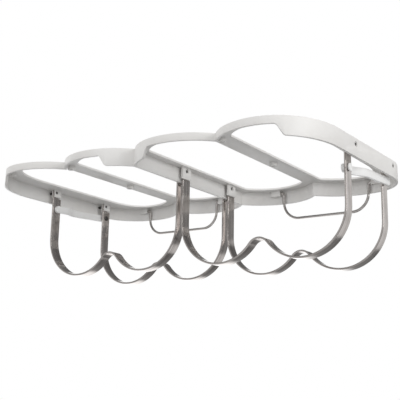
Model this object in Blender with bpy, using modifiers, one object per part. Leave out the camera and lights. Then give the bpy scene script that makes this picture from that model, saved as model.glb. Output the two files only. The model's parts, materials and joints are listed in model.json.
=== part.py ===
"""Under-shelf wine rack with four cells, hung below a board with its top face against it.

A moulded plastic frame carries two folding cradles side by side. Each cradle is a pair of flat steel
bands bent to a W, a near one and a far one. Both bands of a cradle swing about pins in the frame, tied
together by a plastic strut beside the outer legs. A wire bail closes the far end of each cradle. X runs
along the row of cells, Y from the near end of a cell to its far end, Z up. The origin is on the top face,
in the middle of the bar between the two cradles.
"""

import math

import bmesh
import bpy

# Frame outline
CELL_PITCH = 0.092
FRAME_LENGTH = 0.236
SCALLOP_DEPTH = 0.021
NEAR_RAIL_REACH = 0.0525
RAIL_FLARE = 0.0025
NEAR_CORNER_LENGTH = 0.066
FAR_CORNER_LENGTH = 0.056
NEAR_CORNER_POWER = 2.1
FAR_CORNER_POWER = 2.25
SCALLOP_STEPS = 14
CORNER_STEPS = 16
EASE_STEPS = 6

# Frame plate and walls
PLATE_THICKNESS = 0.002
WALL_THICKNESS = 0.0025
TALL_WALL = 0.017
LOW_WALL = 0.007
WALL_STEP_RUN = 0.008
CENTRE_TALL_HALF = 0.022
CORNER_TALL_RUN = 0.0225
DIVIDER_WIDTH = 0.020
SCALLOP_PLATE_WIDTH = 0.013
RAIL_PLATE_INSET = 0.0235
CELL_CORNER_RADIUS = 0.009
CENTRE_WALL_THICKNESS = 0.003
PLATE_BITE = 0.001

# Holes for the screws that hold the frame to the board
SCREW_HOLE_DIAMETER = 0.0045
SCREW_BOSS_DIAMETER = 0.0078
SCREW_BOSS_DEPTH = 0.0035
DIVIDER_SCREW_FROM_NOTCH = 0.010
MIDDLE_SCREW_Y = 0.0067
CORNER_SCREW_TURN = math.radians(52)
CORNER_SCREW_ACROSS_SHARE = 0.6

# Pivots of the bands and the blocks that hold them
NEAR_PIVOT_FROM_END = 0.0974
FAR_PIVOT_FROM_END = 0.0533
PIVOT_DEPTH = 0.0056
PIVOT_AHEAD = 0.0027
PIN_DIAMETER = 0.003
PIN_RECESS = 0.0004
PIN_SINK_DIAMETER = 0.0052
PIN_SINK_DEPTH = 0.0012
FIT_GAP = 0.0003
CENTRE_CHEEK = 0.0022
CENTRE_CHEEK_DEPTH = 0.014
CENTRE_BLOCK_AHEAD = 0.0077
STOP_THICKNESS = 0.0032
CENTRE_LEG_FROM_WALL = 0.0009
RAIL_LEG_INSET = 0.009
RAIL_CHEEK = 0.0012
RAIL_BLOCK_AHEAD = 0.003

# Bands
BAND_WIDTH = 0.012
BAND_THICKNESS = 0.002
BAND_DROP = 0.0987
PEAK_DROP = 0.0762
LEG_TAB_LENGTH = 0.0058
LEG_SHOULDER = 0.001
BEND_STEP = math.radians(7.5)

# Struts and their pins
NEAR_LINK_DROP = 0.0194
FAR_LINK_DROP = 0.0144
STRUT_HEIGHT = 0.0076
STRUT_THICKNESS = 0.0028
STRUT_FROM_NEAR_LEG = 0.0004
STRUT_FROM_FAR_LEG = 0.0017
JOG_START = 0.013
JOG_END = 0.034
STRUT_HUB_DIAMETER = 0.0082
STRUT_HUB_LENGTH = 0.0034
LINK_PIN_DIAMETER = 0.0042
LINK_PIN_SEAT = 0.0018
LINK_HEAD_DIAMETER = 0.0074
LINK_HEAD_LENGTH = 0.0018
HEAD_EDGE = 0.0005
FAR_EYE_DIAMETER = 0.005
FAR_EYE_DEPTH = 0.002
FAR_PIN_REACH = 0.0016
FAR_HEAD_DIAMETER = 0.006
FAR_HEAD_LENGTH = 0.0009

# Bails that close the far ends of the cradles
WIRE_DIAMETER = 0.003
BAIL_FROM_APEX = 0.0048
BAIL_PAST_NOTCH = 0.0043
BAIL_HALF_SPAN = 0.0505
BAIL_DROP = 0.0305
BAIL_AXIS_DEPTH = 0.0052
BAIL_BEND_RADIUS = 0.019
BAIL_END_BEND = 0.0035
BAIL_END_LENGTH = 0.008
GROOVE_INSIDE = 0.0024
GROOVE_OUTSIDE = 0.0036
GROOVE_DEPTH = 0.0011
SOCKET_LENGTH = 0.0112
SOCKET_DEPTH = 0.0065
SOCKET_WALL = 0.0011
SOCKET_STEPS = 6

# Distances that follow from the driving ones
HALF_LENGTH = FRAME_LENGTH / 2
NOTCH_Y = HALF_LENGTH - SCALLOP_DEPTH
HALF_PITCH = CELL_PITCH / 2
SCALLOP_RADIUS = (HALF_PITCH ** 2 + SCALLOP_DEPTH ** 2) / (2 * SCALLOP_DEPTH)
SCALLOP_CENTRE_Y = HALF_LENGTH - SCALLOP_RADIUS
END_CELL_X = CELL_PITCH + HALF_PITCH
NEAR_HALF_WIDTH = END_CELL_X + NEAR_RAIL_REACH
FAR_HALF_WIDTH = NEAR_HALF_WIDTH + RAIL_FLARE
NEAR_CORNER_Y = NEAR_CORNER_LENGTH - HALF_LENGTH
FAR_CORNER_Y = HALF_LENGTH - FAR_CORNER_LENGTH
NEAR_PIVOT_Y = NEAR_PIVOT_FROM_END - HALF_LENGTH
FAR_PIVOT_Y = HALF_LENGTH - FAR_PIVOT_FROM_END
RAIL_LEG_X = NEAR_HALF_WIDTH - RAIL_LEG_INSET
RAIL_PLATE_EDGE = NEAR_HALF_WIDTH - RAIL_PLATE_INSET
CORNER_TALL_X = NEAR_HALF_WIDTH - CORNER_TALL_RUN
CENTRE_LEG_X = CENTRE_WALL_THICKNESS / 2 + CENTRE_LEG_FROM_WALL + BAND_THICKNESS / 2
BAND_CENTRE_X = (RAIL_LEG_X + CENTRE_LEG_X) / 2
BEND_RADIUS = (RAIL_LEG_X - CENTRE_LEG_X) / 4
SLOT_HALF = BAND_THICKNESS / 2 + FIT_GAP
TAB_HALF = BAND_WIDTH / 2 - PIVOT_AHEAD
TAB_BACK = TAB_HALF + FIT_GAP
STOP_DEPTH = PIVOT_DEPTH + LEG_TAB_LENGTH - 2 * FIT_GAP
PIN_HOLE = PIN_DIAMETER + 2 * FIT_GAP
PIVOT_SPAN = FAR_PIVOT_Y - NEAR_PIVOT_Y
STRUT_RISE = NEAR_LINK_DROP - FAR_LINK_DROP
NEAR_LINK_Y = NEAR_PIVOT_Y + PIVOT_AHEAD
FAR_LINK_Y = FAR_PIVOT_Y + PIVOT_AHEAD
NEAR_LINK_Z = -PIVOT_DEPTH - NEAR_LINK_DROP
FAR_LINK_Z = -PIVOT_DEPTH - FAR_LINK_DROP
LEG_HALF = BAND_THICKNESS / 2
STRUT_NEAR_FACE = RAIL_LEG_X - LEG_HALF - STRUT_FROM_NEAR_LEG
STRUT_FAR_FACE = RAIL_LEG_X + LEG_HALF + STRUT_FROM_FAR_LEG
BAIL_X = CELL_PITCH + BAIL_PAST_NOTCH
BAIL_Y = HALF_LENGTH - BAIL_FROM_APEX
BAIL_BORE = WIRE_DIAMETER + 2 * FIT_GAP
PLATE_UNDERSIDE = -PLATE_THICKNESS
BITE_TOP = PLATE_BITE - PLATE_THICKNESS
WALL_FOOT = -TALL_WALL

# Colour, roughness and metalness of each material
COLOURS = {
    "frame_white": ((0.80, 0.79, 0.77), 0.45, 0.0),
    "band_steel": ((0.55, 0.53, 0.52), 0.28, 1.0),
    "wire_steel": ((0.50, 0.48, 0.46), 0.22, 1.0),
    "pin_steel": ((0.32, 0.31, 0.30), 0.35, 1.0),
    "strut_white": ((0.86, 0.86, 0.85), 0.35, 0.0),
}


def clear_scene():
    """Start from an empty file, whatever the open scene holds."""
    for obj in list(bpy.data.objects):
        bpy.data.objects.remove(obj, do_unlink=True)
    for mesh in list(bpy.data.meshes):
        bpy.data.meshes.remove(mesh)
    for old in list(bpy.data.collections):
        bpy.data.collections.remove(old)


def make_collection(name, parent=None):
    made = bpy.data.collections.new(name)
    above = parent or bpy.context.scene.collection
    above.children.link(made)
    return made


def make_material(name):
    colour, roughness, metallic = COLOURS[name]
    material = bpy.data.materials.new(name)
    material.use_nodes = True
    shader = material.node_tree.nodes["Principled BSDF"]
    shader.inputs["Base Color"].default_value = (*colour, 1.0)
    shader.inputs["Roughness"].default_value = roughness
    shader.inputs["Metallic"].default_value = metallic
    return material


def add_mesh(name, bm, collection, smooth=False):
    """Turn a bmesh into an object in a collection."""
    bmesh.ops.recalc_face_normals(bm, faces=bm.faces)
    mesh = bpy.data.meshes.new(name)
    bm.to_mesh(mesh)
    bm.free()
    if smooth:
        mesh.shade_smooth()
        mesh.set_sharp_from_angle(angle=math.radians(35))
    obj = bpy.data.objects.new(name, mesh)
    collection.objects.link(obj)
    return obj


def curve_to_mesh(curve_object, name, collection):
    """Replace a curve object by a welded mesh of the same shape, with its place in the mesh."""
    bpy.context.view_layer.update()
    depsgraph = bpy.context.evaluated_depsgraph_get()
    mesh = bpy.data.meshes.new_from_object(curve_object.evaluated_get(depsgraph))
    matrix = curve_object.matrix_world.copy()
    curve = curve_object.data
    bpy.data.objects.remove(curve_object, do_unlink=True)
    bpy.data.curves.remove(curve)
    bm = bmesh.new()
    bm.from_mesh(mesh)
    bpy.data.meshes.remove(mesh)
    bmesh.ops.remove_doubles(bm, verts=bm.verts, dist=FIT_GAP / 100)
    bm.transform(matrix)
    return add_mesh(name, bm, collection)


def flat_plate(name, loops, top, bottom, collection):
    """A flat outline with holes, extruded between two heights."""
    curve = bpy.data.curves.new(name, "CURVE")
    curve.dimensions = "2D"
    curve.fill_mode = "BOTH"
    curve.extrude = (top - bottom) / 2
    for loop in loops:
        spline = curve.splines.new("POLY")
        spline.points.add(len(loop) - 1)
        for point, (x, y) in zip(spline.points, loop):
            point.co = (x, y, 0, 1)
        spline.use_cyclic_u = True
    flat = bpy.data.objects.new(name + "_curve", curve)
    flat.location.z = (top + bottom) / 2
    bpy.context.scene.collection.objects.link(flat)
    return curve_to_mesh(flat, name, collection)


def box(name, low, high, collection):
    """A box between two corners, with its place in its mesh."""
    bm = bmesh.new()
    bmesh.ops.create_cube(bm, size=1)
    size = [b - a for a, b in zip(low, high)]
    middle = [(a + b) / 2 for a, b in zip(low, high)]
    bmesh.ops.scale(bm, vec=size, verts=bm.verts)
    bmesh.ops.translate(bm, vec=middle, verts=bm.verts)
    return add_mesh(name, bm, collection)


def x_cylinder(name, diameter, x_start, x_end, y, z, collection, sides=20):
    """A round bar along X between two places, with its place in its mesh."""
    bm = bmesh.new()
    radius = diameter / 2
    turns = [2 * math.pi * (k + 1 / 2) / sides for k in range(sides)]
    rings = []
    for x in sorted((x_start, x_end)):
        rings.append([bm.verts.new((x, y + radius * math.cos(t), z + radius * math.sin(t))) for t in turns])
    for k in range(sides):
        after = (k + 1) % sides
        bm.faces.new((rings[0][k], rings[1][k], rings[1][after], rings[0][after]))
    bm.faces.new(rings[0])
    bm.faces.new(rings[1])
    return add_mesh(name, bm, collection, smooth=True)


def boolean(obj, operation, collection):
    """Join or cut an object with everything in a collection."""
    modifier = obj.modifiers.new(operation.lower(), "BOOLEAN")
    modifier.operation = operation
    modifier.operand_type = "COLLECTION"
    modifier.collection = collection
    modifier.solver = "EXACT"
    return modifier


def circle_points(x, y, diameter, sides=32):
    """A closed ring of points round a place in the plate."""
    radius = diameter / 2
    turns = [2 * math.pi * k / sides for k in range(sides)]
    return [(x + radius * math.cos(t), y + radius * math.sin(t)) for t in turns]


def corner_points(half_width, centre_x, centre_y, length, power, extra=()):
    """A rounded frame corner, from the rail to the middle of the end scallop, with any extra places."""
    reach = half_width - centre_x
    turns = [math.pi / 2 * k / CORNER_STEPS for k in range(CORNER_STEPS + 1)]
    turns += [math.acos(((x - centre_x) / reach) ** (power / 2)) for x in extra]
    points = []
    for turn in sorted(turns):
        cosine = max(0, math.cos(turn))
        x = centre_x + reach * cosine ** (2 / power)
        y = centre_y + length * math.sin(turn) ** (2 / power)
        points.append((x, y))
    return points


def scallop_points(centre_x, x_from, x_to, radius, extra=()):
    """Points of a far scallop's arc from one place along X to another."""
    turn_from = math.asin((x_from - centre_x) / radius)
    turn_to = math.asin((x_to - centre_x) / radius)
    turns = [turn_from + (turn_to - turn_from) * k / SCALLOP_STEPS for k in range(SCALLOP_STEPS + 1)]
    turns += [math.asin((x - centre_x) / radius) for x in extra]
    turns.sort(reverse=turn_to < turn_from)
    return [(centre_x + radius * math.sin(t), SCALLOP_CENTRE_Y + radius * math.cos(t)) for t in turns]


def half_outline():
    """The right half of the frame's outer edge, from the near middle notch round to the far one."""
    ease = [WALL_STEP_RUN * k / EASE_STEPS for k in range(EASE_STEPS + 1)]
    inner_steps = [CENTRE_TALL_HALF + run for run in ease]
    corner_steps = [CORNER_TALL_X - run for run in ease]
    inner = scallop_points(HALF_PITCH, 0, CELL_PITCH, SCALLOP_RADIUS, inner_steps)
    outer = scallop_points(END_CELL_X, CELL_PITCH, END_CELL_X, SCALLOP_RADIUS)
    points = [(x, -y) for x, y in inner[:-1] + outer[:-1]]
    shape = (NEAR_CORNER_LENGTH, NEAR_CORNER_POWER, corner_steps)
    near = corner_points(NEAR_HALF_WIDTH, END_CELL_X, -NEAR_CORNER_Y, *shape)
    points += [(x, -y) for x, y in reversed(near)]
    points += corner_points(FAR_HALF_WIDTH, END_CELL_X, FAR_CORNER_Y, FAR_CORNER_LENGTH, FAR_CORNER_POWER)[:-1]
    points += scallop_points(END_CELL_X, END_CELL_X, CELL_PITCH, SCALLOP_RADIUS)[:-1]
    points += scallop_points(HALF_PITCH, CELL_PITCH, 0, SCALLOP_RADIUS)
    return points


def frame_outline():
    """The whole outer edge, anticlockwise seen from above."""
    right = half_outline()
    left = [(-x, y) for x, y in reversed(right[1:-1])]
    return right + left


def inset_loop(points, distance):
    """An anticlockwise loop moved inwards, its corners mitred."""
    moved = []
    count = len(points)
    for k in range(count):
        normals = []
        for a, b in ((points[k - 1], points[k]), (points[k], points[(k + 1) % count])):
            length = math.hypot(b[0] - a[0], b[1] - a[1])
            normals.append(((a[1] - b[1]) / length, (b[0] - a[0]) / length))
        middle = (normals[0][0] + normals[1][0], normals[0][1] + normals[1][1])
        scale = 2 * distance / (middle[0] ** 2 + middle[1] ** 2)
        moved.append((points[k][0] + middle[0] * scale, points[k][1] + middle[1] * scale))
    return moved


def wall_depth(x, y):
    """How far the outer wall reaches down at a place on the outline."""
    side = abs(x)
    low_start = CENTRE_TALL_HALF + WALL_STEP_RUN
    low_end = CORNER_TALL_X - WALL_STEP_RUN
    if y > NEAR_CORNER_Y or side <= CENTRE_TALL_HALF or side >= CORNER_TALL_X:
        return TALL_WALL
    if low_start <= side <= low_end:
        return LOW_WALL
    share = min(abs(side - CENTRE_TALL_HALF), abs(CORNER_TALL_X - side)) / WALL_STEP_RUN
    eased = share * share * (3 - 2 * share)
    return TALL_WALL + (LOW_WALL - TALL_WALL) * eased


def fillet_points(line_x, inward, arc_x, arc_radius, radius):
    """A corner fillet between a straight side and a scallop's inner arc, from the side to the arc."""
    x = line_x + inward * radius
    y = SCALLOP_CENTRE_Y + math.sqrt((arc_radius - radius) ** 2 - (x - arc_x) ** 2)
    start = math.pi if inward > 0 else 0
    end = math.atan2(y - SCALLOP_CENTRE_Y, x - arc_x)
    steps = 6
    turns = [start + (end - start) * k / steps for k in range(steps + 1)]
    return [(x + radius * math.cos(t), y + radius * math.sin(t)) for t in turns]


def inner_cell():
    """The opening of the cell right of the middle, anticlockwise."""
    radius = SCALLOP_RADIUS - SCALLOP_PLATE_WIDTH
    left = DIVIDER_WIDTH / 2
    right = CELL_PITCH - DIVIDER_WIDTH / 2
    up = fillet_points(right, -1, HALF_PITCH, radius, CELL_CORNER_RADIUS)
    down = fillet_points(left, 1, HALF_PITCH, radius, CELL_CORNER_RADIUS)
    arc = scallop_points(HALF_PITCH, up[-1][0], down[-1][0], radius)
    far = up + arc[1:-1] + down[::-1]
    near = [(x, -y) for x, y in reversed(far)]
    return far + near


def end_cell():
    """The opening of the end cell on the right, anticlockwise."""
    radius = SCALLOP_RADIUS - SCALLOP_PLATE_WIDTH
    left = CELL_PITCH + DIVIDER_WIDTH / 2
    far_length = FAR_CORNER_LENGTH - SCALLOP_PLATE_WIDTH
    near_length = NEAR_CORNER_LENGTH - SCALLOP_PLATE_WIDTH
    far = corner_points(RAIL_PLATE_EDGE, END_CELL_X, FAR_CORNER_Y, far_length, FAR_CORNER_POWER)
    near = corner_points(RAIL_PLATE_EDGE, END_CELL_X, -NEAR_CORNER_Y, near_length, NEAR_CORNER_POWER)
    down = fillet_points(left, 1, END_CELL_X, radius, CELL_CORNER_RADIUS)
    arc = scallop_points(END_CELL_X, END_CELL_X, down[-1][0], radius)
    half = arc[1:-1] + down[::-1]
    lower = [(x, -y) for x, y in reversed(half)] + [(x, -y) for x, y in reversed(near)]
    return far + half + lower


def mirrored(points):
    """The same loop on the other side of the middle, kept anticlockwise."""
    return [(-x, y) for x, y in reversed(points)]


def screw_places():
    """Where the frame is screwed to the board."""
    divider_y = DIVIDER_SCREW_FROM_NOTCH - NOTCH_Y
    inside_share = 1 - CORNER_SCREW_ACROSS_SHARE
    reach = NEAR_RAIL_REACH - RAIL_PLATE_INSET * inside_share
    length = NEAR_CORNER_LENGTH - SCALLOP_PLATE_WIDTH * inside_share
    corner_x = END_CELL_X + reach * math.cos(CORNER_SCREW_TURN) ** (2 / NEAR_CORNER_POWER)
    corner_y = NEAR_CORNER_Y - length * math.sin(CORNER_SCREW_TURN) ** (2 / NEAR_CORNER_POWER)
    places = []
    for side in (-1, 1):
        places.append((side * CELL_PITCH, divider_y))
        places.append((side * CELL_PITCH, MIDDLE_SCREW_Y))
        places.append((side * corner_x, corner_y))
    return places


def rail_x(y):
    """The rail's outer face at a place along it."""
    share = (y - NEAR_CORNER_Y) / (FAR_CORNER_Y - NEAR_CORNER_Y)
    return NEAR_HALF_WIDTH + (FAR_HALF_WIDTH - NEAR_HALF_WIDTH) * min(1, share)


def far_edge_y(x):
    """The frame's far outer edge at a place across it."""
    side = abs(x)
    if side > END_CELL_X:
        share = (side - END_CELL_X) / (FAR_HALF_WIDTH - END_CELL_X)
        return FAR_CORNER_Y + FAR_CORNER_LENGTH * (1 - share ** FAR_CORNER_POWER) ** (1 / FAR_CORNER_POWER)
    centre = HALF_PITCH if side < CELL_PITCH else END_CELL_X
    return SCALLOP_CENTRE_Y + math.sqrt(SCALLOP_RADIUS ** 2 - (side - centre) ** 2)


def outer_wall(outline, collection):
    """The skirt round the frame, tall except below the near scallops."""
    bm = bmesh.new()
    inside = inset_loop(outline, WALL_THICKNESS)
    rings = []
    for loop, at_foot in ((outline, False), (outline, True), (inside, True), (inside, False)):
        ring = []
        for (x, y), (x_out, y_out) in zip(loop, outline):
            z = -wall_depth(x_out, y_out) if at_foot else 0
            ring.append(bm.verts.new((x, y, z)))
        rings.append(ring)
    count = len(outline)
    for ring, below in zip(rings, rings[1:] + rings[:1]):
        for k in range(count):
            after = (k + 1) % count
            bm.faces.new((ring[k], below[k], below[after], ring[after]))
    return add_mesh("outer_wall", bm, collection)


def centre_block(name, pivot_y, collection):
    """The block on the middle wall: a cheek beside the leg on both sides, and a stop behind the two tabs."""
    front = pivot_y - CENTRE_BLOCK_AHEAD
    stop = pivot_y + TAB_BACK
    back = stop + STOP_THICKNESS
    outer = CENTRE_LEG_X + SLOT_HALF
    cheek = outer + CENTRE_CHEEK
    for side, label in ((-1, "left"), (1, "right")):
        low_x, high_x = sorted((side * outer, side * cheek))
        low = (low_x, front, -CENTRE_CHEEK_DEPTH)
        box(f"{name}_cheek_{label}", low, (high_x, back, BITE_TOP), collection)
    reach = outer + CENTRE_CHEEK / 2
    box(f"{name}_stop", (-reach, stop, -STOP_DEPTH), (reach, back - FIT_GAP, BITE_TOP), collection)


def rail_block(name, side, pivot_y, collection):
    """The block below a rail's plate: one slot for the leg, closed behind by a stop."""
    front = pivot_y - RAIL_BLOCK_AHEAD
    stop = pivot_y + TAB_BACK
    back = stop + STOP_THICKNESS
    inner = RAIL_LEG_X - SLOT_HALF
    outer = RAIL_LEG_X + SLOT_HALF
    low = inner - RAIL_CHEEK
    high = outer + RAIL_CHEEK
    comb = [(low, front), (inner, front), (inner, stop), (outer, stop), (outer, front), (high, front)]
    comb += [(high, back), (low, back)]
    loop = comb if side > 0 else mirrored(comb)
    flat_plate(name, [loop], BITE_TOP, -STOP_DEPTH, collection)


def pin_cutters(cutters):
    """Holes for the pivot pins, blind in the middle wall and through the rails, each with a wider mouth."""
    cheek = CENTRE_LEG_X + SLOT_HALF + CENTRE_CHEEK
    for row, pivot_y in (("near", NEAR_PIVOT_Y), ("far", FAR_PIVOT_Y)):
        for side, name in ((-1, "left"), (1, "right")):
            place = (pivot_y, -PIVOT_DEPTH, cutters)
            end = side * (cheek + WALL_THICKNESS)
            x_cylinder(f"centre_bore_{row}_{name}", PIN_HOLE, side * FIT_GAP, end, *place)
            start = side * (cheek - PIN_SINK_DEPTH)
            x_cylinder(f"centre_sink_{row}_{name}", PIN_SINK_DIAMETER, start, end, *place)
            start = side * (RAIL_LEG_X - BAND_WIDTH)
            end = side * (FAR_HALF_WIDTH + WALL_THICKNESS)
            x_cylinder(f"rail_bore_{row}_{name}", PIN_HOLE, start, end, *place)
            start = side * (rail_x(pivot_y) - PIN_SINK_DEPTH)
            x_cylinder(f"rail_sink_{row}_{name}", PIN_SINK_DIAMETER, start, end, *place)


def screw_bosses(additions, cutters):
    """A round boss below the plate at each screw, and the hole through both."""
    for k, (x, y) in enumerate(screw_places()):
        boss = circle_points(x, y, SCREW_BOSS_DIAMETER)
        flat_plate(f"screw_boss_{k}", [boss], BITE_TOP, PLATE_UNDERSIDE - SCREW_BOSS_DEPTH, additions)
        hole = circle_points(x, y, SCREW_HOLE_DIAMETER)
        foot = PLATE_UNDERSIDE - SCREW_BOSS_DEPTH - WALL_THICKNESS
        flat_plate(f"screw_hole_{k}", [hole], WALL_THICKNESS, foot, cutters)


def bail_sockets(additions, cutters):
    """Grooves in the far wall for the bails' legs, and beside them blocks with sockets for their ends."""
    front = BAIL_Y - BAIL_BORE / 2 - SOCKET_WALL
    top = PLATE_UNDERSIDE + FIT_GAP
    for cradle in (-1, 1):
        for end in (-1, 1):
            leg_x = cradle * BAIL_X + end * BAIL_HALF_SPAN
            name = f"{cradle}_{end}"
            start = leg_x + end * (GROOVE_OUTSIDE + FIT_GAP)
            low, high = sorted((start, start + end * SOCKET_LENGTH))
            places = [high + (low - high) * k / SOCKET_STEPS for k in range(SOCKET_STEPS + 1)]
            block = [(low, front), (high, front)]
            block += [(x, far_edge_y(x) - WALL_THICKNESS / 2) for x in places]
            foot = PLATE_UNDERSIDE - SOCKET_DEPTH
            flat_plate(f"socket_block_{name}", [block], BITE_TOP, foot, additions)
            low, high = sorted((leg_x - end * GROOVE_INSIDE, leg_x + end * GROOVE_OUTSIDE))
            into_wall = min(far_edge_y(low), far_edge_y(high)) - WALL_THICKNESS + GROOVE_DEPTH
            back = max(into_wall, BAIL_Y + BAIL_BORE / 2)
            corner = (low, front - WALL_THICKNESS, WALL_FOOT - WALL_THICKNESS)
            box(f"groove_{name}", corner, (high, back, top), cutters)
            tip = leg_x + end * (BAIL_END_LENGTH + FIT_GAP)
            x_cylinder(f"socket_{name}", BAIL_BORE, leg_x, tip, BAIL_Y, -BAIL_AXIS_DEPTH, cutters)


def make_frame(parts, joined, cutters):
    """The moulded frame: plate with four openings, skirt, middle wall, bearing blocks and sockets."""
    additions = make_collection("frame_joined", joined)
    cuts = make_collection("frame_cutters", cutters)
    outline = frame_outline()
    loops = [inset_loop(outline, WALL_THICKNESS / 2)]
    loops += [inner_cell(), end_cell(), mirrored(inner_cell()), mirrored(end_cell())]
    frame = flat_plate("frame", loops, 0, PLATE_UNDERSIDE, parts)
    outer_wall(outline, additions)
    half = CENTRE_WALL_THICKNESS / 2
    reach = NOTCH_Y - WALL_THICKNESS
    box("middle_wall", (-half, -reach, WALL_FOOT), (half, reach, BITE_TOP), additions)
    for row, pivot_y in (("near", NEAR_PIVOT_Y), ("far", FAR_PIVOT_Y)):
        centre_block(f"centre_block_{row}", pivot_y, additions)
        rail_block(f"rail_block_{row}_left", -1, pivot_y, additions)
        rail_block(f"rail_block_{row}_right", 1, pivot_y, additions)
    bail_sockets(additions, cuts)
    screw_bosses(additions, cuts)
    pin_cutters(cuts)
    boolean(frame, "UNION", additions)
    boolean(frame, "DIFFERENCE", cuts)
    return frame


def band_path():
    """The bent part of the W, from the outer leg to the inner one, as (x, z) with the pivot at zero."""
    centre_z = BEND_RADIUS + BAND_THICKNESS / 2 - BAND_DROP
    rise = centre_z + PEAK_DROP
    peak_radius = rise ** 2 / (2 * (BEND_RADIUS - rise))
    peak_z = -PEAK_DROP - peak_radius
    meet = math.atan2(centre_z - peak_z, BEND_RADIUS)
    half = []
    steps = math.ceil((math.pi - meet) / BEND_STEP)
    for k in range(steps + 1):
        turn = (math.pi - meet) * k / steps
        x = BAND_CENTRE_X + BEND_RADIUS + BEND_RADIUS * math.cos(turn)
        half.append((x, centre_z - BEND_RADIUS * math.sin(turn)))
    steps = math.ceil((math.pi / 2 - meet) / BEND_STEP)
    for k in range(1, steps + 1):
        turn = meet + (math.pi / 2 - meet) * k / steps
        half.append((BAND_CENTRE_X + peak_radius * math.cos(turn), peak_z + peak_radius * math.sin(turn)))
    other = [(2 * BAND_CENTRE_X - x, z) for x, z in reversed(half[:-1])]
    return half + other


def leg_tab(bm, x, first, last):
    """The narrow rounded top of a leg, cut back behind the pin, as one flat face on the topmost points."""
    points = []
    steps = 8
    for k in range(steps + 1):
        turn = math.pi * (1 - k / steps)
        points.append((TAB_HALF * math.cos(turn), TAB_HALF * math.sin(turn)))
    points.append((TAB_HALF, -LEG_TAB_LENGTH))
    ring = [bm.verts.new((x, y, z)) for y, z in points]
    bm.faces.new([first] + ring + [last])


def make_band(name, side, pivot_y, link_z, link_hole, parts, cutters, pivots):
    """One bent steel band, on its own hinge line, with an eye for its pin to the strut."""
    bm = bmesh.new()
    back = PIVOT_AHEAD + BAND_WIDTH / 2
    shoulder = -LEG_TAB_LENGTH - LEG_SHOULDER
    path = [(RAIL_LEG_X, shoulder)] + band_path() + [(CENTRE_LEG_X, shoulder)]
    rows = []
    for x, z in path:
        rows.append([bm.verts.new((side * x, -TAB_HALF, z)), bm.verts.new((side * x, back, z))])
    for before, after in zip(rows, rows[1:]):
        bm.faces.new((before[0], before[1], after[1], after[0]))
    leg_tab(bm, side * RAIL_LEG_X, *rows[0])
    leg_tab(bm, side * CENTRE_LEG_X, *rows[-1])
    band = add_mesh(name, bm, parts, smooth=True)
    shell = band.modifiers.new("thickness", "SOLIDIFY")
    shell.thickness = BAND_THICKNESS
    shell.offset = 0
    shell.use_even_offset = True
    shell.use_rim = True
    holes = make_collection(f"{name}_holes", cutters)
    for leg_x, where in ((CENTRE_LEG_X, "middle"), (RAIL_LEG_X, "rail")):
        reach = (side * (leg_x - BAND_THICKNESS), side * (leg_x + BAND_THICKNESS))
        x_cylinder(f"{name}_eye_{where}", PIN_HOLE, *reach, pivot_y, -PIVOT_DEPTH, holes, 16)
    reach = (side * (RAIL_LEG_X - BAND_THICKNESS), side * (RAIL_LEG_X + BAND_THICKNESS))
    x_cylinder(f"{name}_link_eye", link_hole, *reach, pivot_y + PIVOT_AHEAD, link_z, holes, 16)
    boolean(band, "DIFFERENCE", holes)
    pivot = bpy.data.objects.new(f"{name}_hinge", None)
    pivot.empty_display_size = BAND_WIDTH
    pivot.location = (0, pivot_y, -PIVOT_DEPTH)
    pivots.objects.link(pivot)
    band.parent = pivot
    return band


def make_pivot_pins(parts):
    """Steel pins: one in each leg's block."""
    made = []
    cheek = CENTRE_LEG_X + SLOT_HALF + CENTRE_CHEEK
    for row, pivot_y in (("near", NEAR_PIVOT_Y), ("far", FAR_PIVOT_Y)):
        for side, name in ((-1, "left"), (1, "right")):
            ends = (side * 2 * FIT_GAP, side * (cheek - PIN_RECESS))
            pin_name = f"pivot_pin_{row}_middle_{name}"
            made.append(x_cylinder(pin_name, PIN_DIAMETER, *ends, pivot_y, -PIVOT_DEPTH, parts))
            ends = (side * (RAIL_LEG_X - SLOT_HALF - RAIL_CHEEK), side * (rail_x(pivot_y) - PIN_RECESS))
            pin_name = f"pivot_pin_{row}_rail_{name}"
            made.append(x_cylinder(pin_name, PIN_DIAMETER, *ends, pivot_y, -PIVOT_DEPTH, parts))
    return made


def strut_stations():
    """Places along the strut from its near pin: (along, offset outwards, half height)."""
    half = STRUT_HEIGHT / 2
    across = STRUT_FAR_FACE - STRUT_NEAR_FACE + STRUT_THICKNESS
    cap = [math.radians(degrees) for degrees in (82, 65, 45, 22)]
    places = [(-half * math.sin(turn), 0, half * math.cos(turn)) for turn in cap]
    places.append((0, 0, half))
    steps = 6
    for k in range(steps + 1):
        share = k / steps
        eased = share * share * (3 - 2 * share)
        places.append((JOG_START + (JOG_END - JOG_START) * share, across * eased, half))
    places.append((PIVOT_SPAN, across, half))
    places += [(PIVOT_SPAN + half * math.sin(turn), across, half * math.cos(turn)) for turn in reversed(cap)]
    return places


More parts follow.
